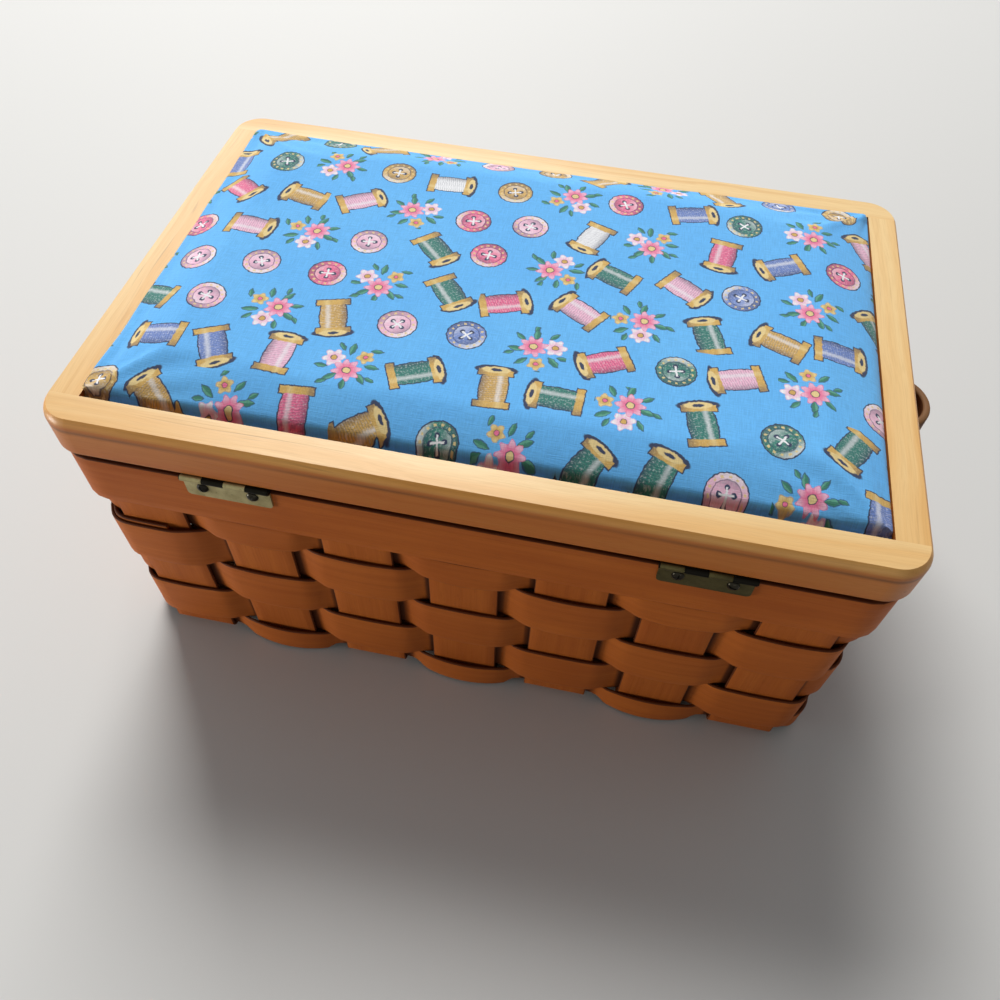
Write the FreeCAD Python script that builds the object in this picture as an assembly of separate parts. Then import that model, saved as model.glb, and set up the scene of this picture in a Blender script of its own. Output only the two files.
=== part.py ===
# Sewing basket woven from flat wood splints, with a hinged frame lid that holds a padded panel.
# Millimetres, +Z up, origin on the floor below the middle of the lid. X runs along the basket,
# and the hinges are on the -Y side.
import FreeCAD, Part
from collections import namedtuple
import math
import os

# Lid frame
lid_length = 330.0
lid_depth = 216.0
lid_thick = 18.5
lid_corner_radius = 14.0
lid_top_round = 6.0
lid_round_planed = 1.5
lid_bottom_round = 0.8
frame_width = 14.0
ledge_width = 8.0
ledge_thick = 6.0
dowel_radius = 2.0
dowel_in_long_rail = 8.0
dowel_in_end_rail = 16.0
dowel_height_shares = (0.30, 0.68)

# Padded panel in the lid
panel_gap = 0.8
panel_corner_radius = 2.5
cover_thick = 0.8
cover_fold = 14.0
board_thick = 3.0
pad_edge_drop = 2.2
pad_crown = 9.2
crown_inset_shares = (0.0, 0.003, 0.011, 0.027, 0.055, 0.13, 0.27, 0.48)
crown_rise_shares = (0.0, 0.16, 0.29, 0.43, 0.55, 0.73, 0.91, 1.0)
panel_screw_shares = (-0.72, 0.0, 0.72)
panel_screw_bite_share = 0.8

# Basket walls
body_height = 136.0
lid_overhang = 1.2
rim_height = 26.4
rim_thick = 2.5
rim_corner_radius = 14.0
splint_thick = 1.5
cross_stake_width = 30.0
long_stake_width = 26.0
least_stake_gap = 12.0
stake_margin = 0.5
stake_bend_radius = 2.0
crossing_clearance = 0.1
weaver_thick = 1.5
weave_clearance = 1.5
top_row_clearance = 0.68
bottom_row_clearance = 2.8
full_row_count = 3
top_row_height = 14.7
bottom_row_height = 11.6
row_gap = 0.3
base_board_thick = 3.0
base_board_clearance = 0.6
base_board_radius = 9.0

# Rim brads, driven from inside
brad_head_radius = 1.6
brad_head_thick = 0.6
brad_radius = 0.6
brad_bite_share = 0.65
brad_height_share = 0.3

# End handles
handle_height = 14.0
handle_thick = 3.0
handle_drop = 1.4
handle_reach = 14.3
handle_bow_radius = 14.5
handle_fillet = 4.0
handle_foot = 16.0
tack_head_radius = 2.6
tack_head_height = 1.4
tack_radius = 0.9

# Hinges
hinge_inset = 73.0
leaf_length = 35.0
leaf_reach = 11.1
leaf_thick = 1.0
leaf_corner_radius = 1.8
leaf_clearance = 2.8
knuckle_count = 4
knuckle_radius = 1.4
knuckle_clearance = 0.2
knuckle_end_gap = 0.2
pin_radius = 0.75
pin_clearance = 0.05
pin_head_radius = 1.1
pin_head_thick = 0.5

# Screws of the hinges and of the panel
screw_spacing = 20.2
screw_row_share = 0.39
screw_radius = 1.1
screw_head_radius = 2.4
dome_height = 1.5
sunk_height = 1.1
rim_screw_bite_share = 0.6
lid_screw_length = 9.0

# Reach of cuts past the faces that they open, and the play allowed in finding an edge
overrun = 5.0
edge_play = 0.01

Vec = FreeCAD.Vector
along_x = Vec(1, 0, 0)
along_y = Vec(0, 1, 0)
upward = Vec(0, 0, 1)

# Heights
lid_floor = body_height
lid_top = lid_floor + lid_thick
ledge_top = lid_floor + ledge_thick
rim_top = lid_floor - leaf_thick - leaf_clearance
rim_floor = rim_top - rim_height
low_strip = splint_thick / 2
high_strip = low_strip + splint_thick + crossing_clearance
weave_floor = high_strip + stake_bend_radius
base_top = high_strip + splint_thick / 2

# Half sizes in plan, from the lid inwards
rim_half_x = lid_length / 2 - lid_overhang
rim_half_y = lid_depth / 2 - lid_overhang
wall_x = rim_half_x - rim_thick - splint_thick / 2
wall_y = rim_half_y - rim_thick - splint_thick / 2
band_inner_radius = rim_corner_radius - rim_thick
opening_x = lid_length / 2 - frame_width
opening_y = lid_depth / 2 - frame_width
board_x = opening_x - panel_gap - cover_thick
board_y = opening_y - panel_gap - cover_thick


def stakes_that_fit(last_stake, width):
    # as many stakes as stand between the outermost two, and with them, with the least gap or more
    return int((2 * last_stake + width + least_stake_gap) / (width + least_stake_gap))


# Stakes stand evenly on the straight stretches of the walls
last_cross_x = wall_x + splint_thick / 2 - band_inner_radius - stake_margin - cross_stake_width / 2
last_long_y = wall_y + splint_thick / 2 - band_inner_radius - stake_margin - long_stake_width / 2
cross_stake_count = stakes_that_fit(last_cross_x, cross_stake_width)
long_stake_count = stakes_that_fit(last_long_y, long_stake_width)
cross_pitch = 2 * last_cross_x / (cross_stake_count - 1)
long_pitch = 2 * last_long_y / (long_stake_count - 1)
cross_places = [-last_cross_x + i * cross_pitch for i in range(cross_stake_count)]
long_places = [-last_long_y + i * long_pitch for i in range(long_stake_count)]


# A wall as a weaver meets it: its stakes, the height of the crests over them and its distance from the middle
Wall = namedtuple("Wall", "stake_count pitch crest distance last_stake")


def swell(stake_width, pitch, clearance):
    # height of a weaver's crest that leaves the clearance at the edges of a flat stake
    return ((splint_thick + weaver_thick) / 2 + clearance) / (1 - (stake_width / pitch) ** 2)


def woven_walls(clearance):
    # the long wall and the end wall, for a row with that clearance
    crest_y = swell(cross_stake_width, cross_pitch, clearance)
    crest_x = swell(long_stake_width, long_pitch, clearance)
    return (Wall(cross_stake_count, cross_pitch, crest_y, wall_y, last_cross_x),
            Wall(long_stake_count, long_pitch, crest_x, wall_x, last_long_y))


# Hinge axis, outside the rim and below the lid
knuckle_room = knuckle_radius + knuckle_clearance
axis_y = -(rim_half_y + knuckle_room)
axis_z = lid_floor - knuckle_room
hinge_x = lid_length / 2 - hinge_inset
hinge_places = {"left": -hinge_x, "right": hinge_x}
screw_row = knuckle_room + screw_row_share * (leaf_reach - knuckle_room)


class Track:
    # A strip laid along a path of straight runs and tangent bends, drawn in the plane of two directions.
    def __init__(self, start, heading, thick, across=along_x, up=along_y):
        self.place = start
        self.heading = heading
        self.offsets = (thick / 2, -thick / 2)
        self.across = across
        self.up = up
        self.sides = ([], [])

    def point(self, place):
        return self.across * place[0] + self.up * place[1]

    def beside(self, offset):
        normal = (-math.sin(self.heading), math.cos(self.heading))
        return (self.place[0] + offset * normal[0], self.place[1] + offset * normal[1])

    def run(self, length):
        starts = [self.beside(offset) for offset in self.offsets]
        step = (length * math.cos(self.heading), length * math.sin(self.heading))
        self.place = (self.place[0] + step[0], self.place[1] + step[1])
        for side, offset, start in zip(self.sides, self.offsets, starts):
            side.append(Part.LineSegment(self.point(start), self.point(self.beside(offset))).toShape())
        return self

    def bend(self, radius, turn):
        # a positive turn is to the left
        centre = self.beside(math.copysign(radius, turn))
        begin = self.heading
        marks = []
        for heading in (begin, begin + turn / 2, begin + turn):
            self.heading = heading
            back = math.copysign(radius, turn)
            self.place = (centre[0] + back * math.sin(heading), centre[1] - back * math.cos(heading))
            marks.append([self.beside(offset) for offset in self.offsets])
        for i, side in enumerate(self.sides):
            side.append(Part.Arc(*[self.point(mark[i]) for mark in marks]).toShape())
        return self

    def ramp(self, length, rise):
        # a level change made of two equal bends
        radius = (length ** 2 + rise ** 2) / (4 * abs(rise))
        turn = math.copysign(2 * math.atan2(abs(rise), length), rise)
        return self.bend(radius, turn).bend(radius, -turn)

    def open_face(self):
        left, right = self.sides
        first = Part.LineSegment(left[0].firstVertex().Point, right[0].firstVertex().Point).toShape()
        last = Part.LineSegment(left[-1].lastVertex().Point, right[-1].lastVertex().Point).toShape()
        edges = left + [last] + right + [first]
        return Part.Face(Part.Wire(Part.__sortEdges__(edges)))

    def ring_face(self):
        left, right = [Part.Face(Part.Wire(Part.__sortEdges__(side))) for side in self.sides]
        return right.cut(left)


def box(x_range, y_range, z_range):
    corner = Vec(x_range[0], y_range[0], z_range[0])
    sizes = [high - low for low, high in (x_range, y_range, z_range)]
    return Part.makeBox(*sizes, corner)


def rounded_outline(half_x, half_y, radius, z):
    cut = radius * (1 - math.sqrt(0.5))
    edges = []
    corners = []
    for sign_x, sign_y in ((1, 1), (-1, 1), (-1, -1), (1, -1)):
        on_side = Vec(sign_x * half_x, sign_y * (half_y - radius), z)
        on_end = Vec(sign_x * (half_x - radius), sign_y * half_y, z)
        middle = Vec(sign_x * (half_x - cut), sign_y * (half_y - cut), z)
        first, last = (on_side, on_end) if sign_x * sign_y > 0 else (on_end, on_side)
        corners.append((first, middle, last))
    for i, (first, middle, last) in enumerate(corners):
        edges.append(Part.Arc(first, middle, last).toShape())
        edges.append(Part.LineSegment(last, corners[(i + 1) % len(corners)][0]).toShape())
    return Part.Wire(edges)


def rounded_slab(half_x, half_y, radius, floor, top):
    return Part.Face(rounded_outline(half_x, half_y, radius, floor)).extrude(upward * (top - floor))


def turned(outline, place, direction):
    # a solid of revolution from (radius, height) points, with its height along direction
    points = [Vec(radius, 0, height) for radius, height in outline]
    solid = Part.Face(Part.makePolygon(points + points[:1])).revolve(Vec(0, 0, 0), upward, 360)
    solid.Placement = FreeCAD.Placement(place, FreeCAD.Rotation(upward, direction))
    return solid


def domed_pin(place, direction, head_radius, head_height, radius, length):
    # a round head that stands on the place and a shank that goes into it against the direction
    ball_radius = (head_radius ** 2 + head_height ** 2) / (2 * head_height)
    edge_angle = math.asin(head_radius / ball_radius)
    middle = Vec(ball_radius * math.sin(edge_angle / 2), 0,
                 head_height - ball_radius * (1 - math.cos(edge_angle / 2)))
    rim = Vec(head_radius, 0, 0)
    crown = Vec(0, 0, head_height)
    path = [crown, Vec(0, 0, -length), Vec(radius, 0, -length), Vec(radius, 0, 0), rim]
    edges = [Part.LineSegment(a, b).toShape() for a, b in zip(path, path[1:])]
    edges.append(Part.Arc(rim, middle, crown).toShape())
    solid = Part.Face(Part.Wire(edges)).revolve(Vec(0, 0, 0), upward, 360)
    solid.Placement = FreeCAD.Placement(place, FreeCAD.Rotation(upward, direction))
    return solid


def sunk_screw(place, direction, length):
    # a countersunk screw whose flat head lies at the place, with its point along direction
    outline = [(0, 0), (screw_head_radius, 0), (screw_radius, sunk_height)]
    return turned(outline + [(screw_radius, length), (0, length)], place, direction)


# Stakes

def interlaced_stake(wall, places, width, first_high, across):
    # down one wall, over and under the crossing strips in the bottom, and up the other wall
    levels = [high_strip if (i % 2 == 0) == first_high else low_strip for i in range(len(places))]
    track = Track((-wall, rim_top), -math.pi / 2, splint_thick, across, upward)
    track.run(rim_top - levels[0] - stake_bend_radius)
    track.bend(stake_bend_radius, math.pi / 2)
    track.run(places[0] + width / 2 + wall - stake_bend_radius)
    for i in range(1, len(places)):
        track.ramp(places[i] - places[i - 1] - width, levels[i] - levels[i - 1])
        if i < len(places) - 1:
            track.run(width)
    track.run(wall - stake_bend_radius - places[-1] + width / 2)
    track.bend(stake_bend_radius, math.pi / 2)
    track.run(rim_top - levels[-1] - stake_bend_radius)
    return track.open_face()


def cross_stake(i):
    face = interlaced_stake(wall_y, long_places, long_stake_width, i % 2 == 0, along_y)
    face.translate(along_x * (cross_places[i] - cross_stake_width / 2))
    return face.extrude(along_x * cross_stake_width)


def long_stake(i):
    face = interlaced_stake(wall_x, cross_places, cross_stake_width, i % 2 == 1, along_x)
    face.translate(along_y * (long_places[i] - long_stake_width / 2))
    return face.extrude(along_y * long_stake_width)


# Weavers

def weaver(row, floor, top, clearance):
    # counter-clockwise round the basket; odd rows, counted from the top, start inside the first stake
    walls = woven_walls(clearance) * 2
    outside = 1 if row % 2 == 0 else -1
    track = Track((-last_cross_x, -wall_y - outside * walls[0].crest), 0.0, weaver_thick)
    for wall, following in zip(walls, walls[1:] + walls[:1]):
        radius = (wall.pitch ** 2 / 4 + wall.crest ** 2) / (2 * wall.crest)
        half_turn = math.asin(wall.pitch / 2 / radius)
        for i in range(wall.stake_count):
            turns = 1 if i in (0, wall.stake_count - 1) else 2
            track.bend(radius, outside * turns * half_turn)
            outside = -outside
        track.run(following.distance + outside * following.crest - rim_corner_radius - wall.last_stake)
        track.bend(rim_corner_radius, math.pi / 2)
        track.run(wall.distance - outside * wall.crest - rim_corner_radius - following.last_stake)
    face = track.ring_face()
    face.translate(upward * floor)
    return face.extrude(upward * (top - floor))


def weaver_rows():
    # floor, top and clearance of each weaver, from the top row down
    full_row = (rim_floor - weave_floor - top_row_height - bottom_row_height) / full_row_count
    heights = [top_row_height] + [full_row] * full_row_count + [bottom_row_height]
    clearances = [top_row_clearance] + [weave_clearance] * full_row_count + [bottom_row_clearance]
    rows = []
    top = rim_floor
    for height, clearance in zip(heights, clearances):
        rows.append((top - height, top - row_gap, clearance))
        top -= height
    return rows


# Rim, base and handles

def rim_band(half_x, half_y, radius):
    outside = rounded_slab(half_x, half_y, radius, rim_floor, rim_top)
    inside = rounded_slab(half_x - rim_thick, half_y - rim_thick, radius - rim_thick, rim_floor, rim_top)
    return outside.cut(inside)


def rim_brads():
    head_x = wall_x - splint_thick / 2 - rim_thick
    head_y = wall_y - splint_thick / 2 - rim_thick
    length = rim_thick + splint_thick + brad_bite_share * rim_thick
    height = rim_floor + brad_height_share * rim_height
    outline = [(0, -brad_head_thick), (brad_head_radius, -brad_head_thick), (brad_head_radius, 0),
               (brad_radius, 0), (brad_radius, length), (0, length)]
    brads = []
    for side in (-1, 1):
        brads += [turned(outline, Vec(x, side * head_y, height), along_y * side) for x in cross_places]
        brads += [turned(outline, Vec(side * head_x, y, height), along_x * side) for y in long_places]
    return brads


def base_board():
    half_y, half_x = [wall.distance - wall.crest - weaver_thick / 2 - base_board_clearance
                      for wall in woven_walls(bottom_row_clearance)]
    return rounded_slab(half_x, half_y, base_board_radius, base_top, base_top + base_board_thick)


# the bow's circle lies off the foot line, and fillets join the two
bow_offset = handle_reach - handle_bow_radius
foot_start = math.sqrt((handle_bow_radius + handle_fillet) ** 2 - (handle_fillet - bow_offset) ** 2)
bow_turn = math.atan2(foot_start, handle_fillet - bow_offset)
handle_floor = rim_top - handle_drop - handle_height


def handle(side):
    track = Track((rim_half_x + handle_thick / 2, -foot_start - handle_foot), math.pi / 2, handle_thick)
    track.run(handle_foot)
    track.bend(handle_fillet, -bow_turn)
    track.bend(handle_bow_radius, 2 * bow_turn)
    track.bend(handle_fillet, -bow_turn)
    track.run(handle_foot)
    face = track.open_face()
    face.translate(upward * handle_floor)
    bow = face.extrude(upward * handle_height)
    return bow if side > 0 else bow.mirror(Vec(0, 0, 0), along_x)


def handle_tacks():
    tacks = []
    for side in (-1, 1):
        for end in (-1, 1):
            place = Vec(side * (rim_half_x + handle_thick), end * (foot_start + handle_foot / 2),
                        handle_floor + handle_height / 2)
            tacks.append(domed_pin(place, along_x * side, tack_head_radius, tack_head_height,
                                   tack_radius, handle_thick + rim_thick))
    return tacks


# Hinges

def knuckle_ranges(centre, owner):
    # the knuckles along X that one leaf owns: 0 for the rim leaf, 1 for the lid leaf
    pitch = leaf_length / knuckle_count
    start = centre - leaf_length / 2
    ranges = []
    for i in range(owner, knuckle_count, 2):
        low = start + i * pitch + (knuckle_end_gap / 2 if i > 0 else 0)
        high = start + (i + 1) * pitch - (knuckle_end_gap / 2 if i < knuckle_count - 1 else 0)
        ranges.append((low, high))
    return ranges


def knuckled(plate, tongues, ranges):
    far_corners = [edge for edge in plate.Edges if abs(edge.Length - leaf_thick) < edge_play
                   and math.hypot(edge.CenterOfMass.y - axis_y, edge.CenterOfMass.z - axis_z) > screw_row]
    plate = plate.makeFillet(leaf_corner_radius, far_corners)
    bore = Part.makeCylinder(pin_radius + pin_clearance, leaf_length + 2 * overrun,
                             Vec(plate.BoundBox.XMin - overrun, axis_y, axis_z), along_x)
    barrels = [Part.makeCylinder(knuckle_radius, high - low, Vec(low, axis_y, axis_z), along_x)
               for low, high in ranges]
    return plate.multiFuse(tongues + barrels).cut(bore).removeSplitter()


def rim_leaf(centre):
    span = (centre - leaf_length / 2, centre + leaf_length / 2)
    thickness = (-rim_half_y - leaf_thick, -rim_half_y)
    notch = axis_z - knuckle_room
    ranges = knuckle_ranges(centre, 0)
    plate = box(span, thickness, (axis_z - leaf_reach, notch))
    return knuckled(plate, [box(r, thickness, (notch, axis_z)) for r in ranges], ranges)


def lid_leaf(centre):
    span = (centre - leaf_length / 2, centre + leaf_length / 2)
    thickness = (lid_floor - leaf_thick, lid_floor)
    notch = axis_y + knuckle_room
    ranges = knuckle_ranges(centre, 1)
    plate = box(span, (notch, axis_y + leaf_reach), thickness)
    return knuckled(plate, [box(r, (axis_y, notch), thickness) for r in ranges], ranges)


def hinge_pin(centre):
    half = leaf_length / 2
    head_end = half + pin_head_thick
    outline = [(0, -head_end), (pin_head_radius, -head_end), (pin_head_radius, -half), (pin_radius, -half),
               (pin_radius, half), (pin_head_radius, half), (pin_head_radius, head_end), (0, head_end)]
    return turned(outline, Vec(centre, axis_y, axis_z), along_x)


screw_places = [hinge + end * screw_spacing / 2 for hinge in hinge_places.values() for end in (-1, 1)]


def rim_leaf_screws():
    length = leaf_thick + rim_thick + splint_thick + rim_screw_bite_share * rim_thick
    return [domed_pin(Vec(x, -rim_half_y - leaf_thick, axis_z - screw_row), -along_y,
                      screw_head_radius, dome_height, screw_radius, length) for x in screw_places]


def lid_leaf_screws():
    return [sunk_screw(Vec(x, axis_y + screw_row, lid_floor - leaf_thick), upward, lid_screw_length)
            for x in screw_places]


# Lid

def lid_ring():
    # the top is planed after its edge is rounded, so the round meets it at a crisp edge
    rough_top = lid_top + lid_round_planed
    blank = rounded_slab(lid_length / 2, lid_depth / 2, lid_corner_radius, lid_floor, rough_top)
    top_edges = [edge for edge in blank.Edges if abs(edge.BoundBox.ZMin - rough_top) < edge_play]
    blank = blank.makeFillet(lid_top_round, top_edges)
    bottom_edges = [edge for edge in blank.Edges if abs(edge.BoundBox.ZMax - lid_floor) < edge_play]
    blank = blank.makeFillet(lid_bottom_round, bottom_edges)
    planed = box((-lid_length, lid_length), (-lid_depth, lid_depth), (lid_top, rough_top + overrun))
    opening = box((-opening_x, opening_x), (-opening_y, opening_y), (ledge_top, lid_top + overrun))
    inner_x = opening_x - ledge_width
    inner_y = opening_y - ledge_width
    through = box((-inner_x, inner_x), (-inner_y, inner_y), (lid_floor - overrun, lid_top))
    return blank.cut(planed).cut(opening).cut(through)


def long_rail(ring, side):
    outer = sorted((side * lid_depth, side * opening_y))
    ledge = sorted((side * opening_y, side * (opening_y - ledge_width)))
    heights = (lid_floor - overrun, lid_top + overrun)
    strip = ring.common(box((-lid_length, lid_length), outer, heights))
    shelf = ring.common(box((-opening_x, opening_x), ledge, heights))
    return strip.fuse(shelf).removeSplitter()


def end_rail(ring, long_rails, side):
    half = sorted((0, side * lid_length))
    heights = (lid_floor - overrun, lid_top + overrun)
    return ring.common(box(half, (-lid_depth, lid_depth), heights)).cut(long_rails)


def frame_dowels():
    dowels = []
    for side_x in (-1, 1):
        for side_y in (-1, 1):
            for share in dowel_height_shares:
                start = Vec(side_x * (lid_length / 2 - frame_width / 2),
                            side_y * (opening_y + dowel_in_long_rail), lid_floor + share * lid_thick)
                dowels.append(Part.makeCylinder(dowel_radius, dowel_in_long_rail + dowel_in_end_rail,
                                                start, along_y * -side_y))
    return dowels


def crowned_block(grow, floor):
    # straight sides up to the pad's edge, then a crown that rises in steps of falling slope
    edge = lid_top - pad_edge_drop + grow
    levels = [(0.0, floor)]
    for inset, rise in zip(crown_inset_shares, crown_rise_shares):
        levels.append((inset * board_y, edge + rise * pad_crown))
    wires = [rounded_outline(board_x + grow - inset, board_y + grow - inset, panel_corner_radius, z)
             for inset, z in levels]
    return Part.makeLoft(wires, True, True)


def panel_pieces():
    board_floor = ledge_top + cover_thick
    board_top = board_floor + board_thick
    board = rounded_slab(board_x, board_y, panel_corner_radius, board_floor, board_top)
    pad = crowned_block(0.0, board_top)
    inside = crowned_block(0.0, board_floor)
    window = rounded_slab(board_x - cover_fold, board_y - cover_fold, panel_corner_radius,
                          ledge_top - overrun, board_top)
    cover = crowned_block(cover_thick, ledge_top).cut(inside).cut(window)
    return board, pad, cover


def panel_screws():
    row_x = opening_x - ledge_width / 2
    row_y = opening_y - ledge_width / 2
    length = ledge_thick + cover_thick + panel_screw_bite_share * board_thick
    places = [(share * opening_x, side * row_y) for share in panel_screw_shares for side in (-1, 1)]
    places += [(side * row_x, 0) for side in (-1, 1)]
    return [sunk_screw(Vec(x, y, lid_floor), upward, length) for x, y in places]


# Nodes

nodes = {}
for i in range(cross_stake_count):
    nodes["cross_stake_%d" % (i + 1)] = cross_stake(i)
for i in range(long_stake_count):
    nodes["long_stake_%d" % (i + 1)] = long_stake(i)
for i, (floor, top, clearance) in enumerate(weaver_rows()):
    nodes["weaver_row_%d" % (i + 1)] = weaver(i + 1, floor, top, clearance)

nodes["outer_rim_band"] = rim_band(rim_half_x, rim_half_y, rim_corner_radius)
nodes["inner_rim_band"] = rim_band(wall_x - splint_thick / 2, wall_y - splint_thick / 2,
                                   band_inner_radius - splint_thick)
nodes["base_board"] = base_board()
nodes["handle_left"] = handle(-1)
nodes["handle_right"] = handle(1)

ring = lid_ring()
nodes["lid_hinge_rail"] = long_rail(ring, -1)
nodes["lid_front_rail"] = long_rail(ring, 1)
long_rails = [nodes["lid_hinge_rail"], nodes["lid_front_rail"]]
nodes["lid_left_rail"] = end_rail(ring, long_rails, -1)
nodes["lid_right_rail"] = end_rail(ring, long_rails, 1)
nodes["panel_board"], nodes["panel_pad"], nodes["panel_cover"] = panel_pieces()

for side, centre in hinge_places.items():
    nodes["hinge_%s_rim_leaf" % side] = rim_leaf(centre)
    nodes["hinge_%s_lid_leaf" % side] = lid_leaf(centre)
    nodes["hinge_%s_pin" % side] = hinge_pin(centre)

# Fasteners, and the holes that they sit in
stakes = [name for name in nodes if "stake" in name]
bands = ["outer_rim_band", "inner_rim_band"]
rails = ["lid_hinge_rail", "lid_front_rail", "lid_left_rail", "lid_right_rail"]
rim_leaves = ["hinge_left_rim_leaf", "hinge_right_rim_leaf"]
lid_leaves = ["hinge_left_lid_leaf", "hinge_right_lid_leaf"]
fasteners = {
    "rim_brads": (rim_brads(), stakes + bands),
    "handle_tacks": (handle_tacks(), ["handle_left", "handle_right", "outer_rim_band"]),
    "rim_leaf_screws": (rim_leaf_screws(), rim_leaves + stakes + bands),
    "lid_leaf_screws": (lid_leaf_screws(), lid_leaves + ["lid_hinge_rail"]),
    "frame_dowels": (frame_dowels(), rails),
    "panel_screws": (panel_screws(), rails + ["panel_board", "panel_cover"]),
}
for name, (pins, holders) in fasteners.items():
    for holder in holders:
        near = [pin for pin in pins if pin.BoundBox.intersect(nodes[holder].BoundBox)]
        if near:
            nodes[holder] = nodes[holder].cut(near)
    nodes[name] = Part.makeCompound(pins)

os.makedirs("parts", exist_ok=True)
for name, shape in nodes.items():
    solids = shape.Solids
    print("%-22s %2d solids %10.1f mm3 valid %s" % (name, len(solids), shape.Volume, shape.isValid()))
    result = solids[0] if len(solids) == 1 else Part.makeCompound(solids)
    result.exportStep("parts/%s.step" % name)
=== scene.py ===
import math
import random

import bpy
from mathutils import Matrix, Vector, noise


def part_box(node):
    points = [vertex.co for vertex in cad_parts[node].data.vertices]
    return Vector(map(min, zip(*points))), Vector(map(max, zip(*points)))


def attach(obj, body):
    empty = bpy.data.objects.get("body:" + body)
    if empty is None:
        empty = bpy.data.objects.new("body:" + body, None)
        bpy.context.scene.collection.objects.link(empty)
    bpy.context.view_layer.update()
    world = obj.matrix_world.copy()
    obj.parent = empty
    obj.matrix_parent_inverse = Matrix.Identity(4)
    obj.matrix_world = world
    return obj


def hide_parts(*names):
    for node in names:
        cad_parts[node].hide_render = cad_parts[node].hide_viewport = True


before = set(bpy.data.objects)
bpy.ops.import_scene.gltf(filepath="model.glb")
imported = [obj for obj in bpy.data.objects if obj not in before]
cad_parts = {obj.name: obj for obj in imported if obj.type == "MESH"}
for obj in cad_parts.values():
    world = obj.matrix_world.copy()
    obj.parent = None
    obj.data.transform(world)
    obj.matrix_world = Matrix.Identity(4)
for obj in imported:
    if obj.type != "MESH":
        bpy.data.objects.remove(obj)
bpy.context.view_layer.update()        # metres, +Z up, X along the basket, hinges on the -Y side
mm = 0.001
print("frame loaded:", len(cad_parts), "nodes")


# Shader sockets as Python values

class Wire:
    def __init__(self, tree, socket=None):
        self.tree = tree
        self.socket = socket

    # any node: its type, its settings, then the values or links of its sockets
    def add(self, kind, settings=None, sockets=None, out=0):
        made = self.tree.nodes.new("ShaderNode" + kind)
        for key, value in (settings or {}).items():
            if key == "stops":
                fillRamp(made.color_ramp, *value)
            else:
                setattr(made, key, value)
        for key, value in (sockets or {}).items():
            if isinstance(value, Wire):
                self.tree.links.new(value.socket, made.inputs[key])
            else:
                made.inputs[key].default_value = value
        return Wire(self.tree, made.outputs[out] if made.outputs else None)

    def maths(self, operation, *values):
        return self.add("Math", {"operation": operation}, dict(enumerate(values)))

    def __add__(self, other):
        return self.maths("ADD", self, other)

    def __sub__(self, other):
        return self.maths("SUBTRACT", self, other)

    def __rsub__(self, other):
        return self.maths("SUBTRACT", other, self)

    def __mul__(self, other):
        return self.maths("MULTIPLY", self, other)

    def __truediv__(self, other):
        return self.maths("DIVIDE", self, other)

    def __pow__(self, other):
        return self.maths("POWER", self, other)

    def __abs__(self):
        return self.maths("ABSOLUTE", self)

    __radd__ = __add__
    __rmul__ = __mul__

    def least(self, other):
        return self.maths("MINIMUM", self, other)

    def most(self, other):
        return self.maths("MAXIMUM", self, other)

    # 0 below low, 1 above high, smooth between
    def step(self, low, high):
        ends = {"Value": self, "From Min": low, "From Max": high}
        return self.add("MapRange", {"interpolation_type": "SMOOTHSTEP"}, ends)

    # this value as the factor between two colours
    def mix(self, first, second, way="MIX"):
        return self.add("Mix", {"data_type": "RGBA", "blend_type": way}, {0: self, 6: first, 7: second}, 2)

    def parts(self):
        split = self.add("SeparateXYZ", None, {0: self}).socket.node
        return [Wire(self.tree, socket) for socket in split.outputs]

    def vector(self, x, y, z=0.0):
        return self.add("CombineXYZ", None, {0: x, 1: y, 2: z})

    def scaled(self, factor):
        return self.add("VectorMath", {"operation": "SCALE"}, {0: self, "Scale": factor})

    def cloud(self, place, detail=2.0, rough=0.5):
        sizes = {"Vector": place, "Scale": 1.0, "Detail": detail, "Roughness": rough}
        return self.add("TexNoise", None, sizes)

    def place(self, which="Object"):
        return self.add("TexCoord", None, None, which)


def fillRamp(ramp, stops, way="LINEAR"):
    ramp.interpolation = way
    while len(ramp.elements) < len(stops):
        ramp.elements.new(0.5)
    for element, (position, colour) in zip(ramp.elements, stops):
        element.position = position
        element.color = colour


def tint(red, green, blue):
    return (red, green, blue, 1.0)


def newFinish(name):
    finish = bpy.data.materials.new(name)
    finish.use_nodes = True
    finish.node_tree.nodes.clear()
    return finish, Wire(finish.node_tree)


def closeFinish(start, sockets):
    surface = start.add("BsdfPrincipled", None, sockets)
    start.add("OutputMaterial", None, {"Surface": surface})


def bumped(start, height, depth, strength=1.0):
    return start.add("Bump", None, {"Height": height, "Distance": depth, "Strength": strength})


# 1 inside a drawn line, 0 outside
def ink(distance, soft=0.16):
    return 1.0 - distance.step(-soft, soft)


def radial(a, b, longer=1.0, wider=1.0):
    first, second = a / longer, b / wider
    return (first * first + second * second) ** 0.5


# noise drawn out along the grain: its waves to the metre, along the grain and across it
def grain(start, place, waves, detail=2.0, rough=0.5):
    along, across, up = place
    return start.cloud(start.vector(along * waves[0], across * waves[1], up * waves[1]), detail, rough)


# Wood finishes

# round and side multiply the colour, below the top's edge and on the upright faces and undersides: painted
# shade where these faces turn from the light
lidWood = dict(pale=tint(0.825, 0.585, 0.28), deep=tint(0.66, 0.36, 0.115), warm=tint(0.74, 0.43, 0.15),
               streak=tint(0.34, 0.19, 0.075), fibre=tint(0.46, 0.24, 0.08), shadeLine=tint(0.11, 0.035, 0.008),
               round=tint(0.95, 0.72, 0.40), side=tint(0.57, 0.32, 0.14), sway=12 * mm,
               shadeLineAt=149.3 * mm, shadeLineHalf=0.7 * mm, shadeLineSoft=1.0 * mm, shadeLinePlay=1.2 * mm)


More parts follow.
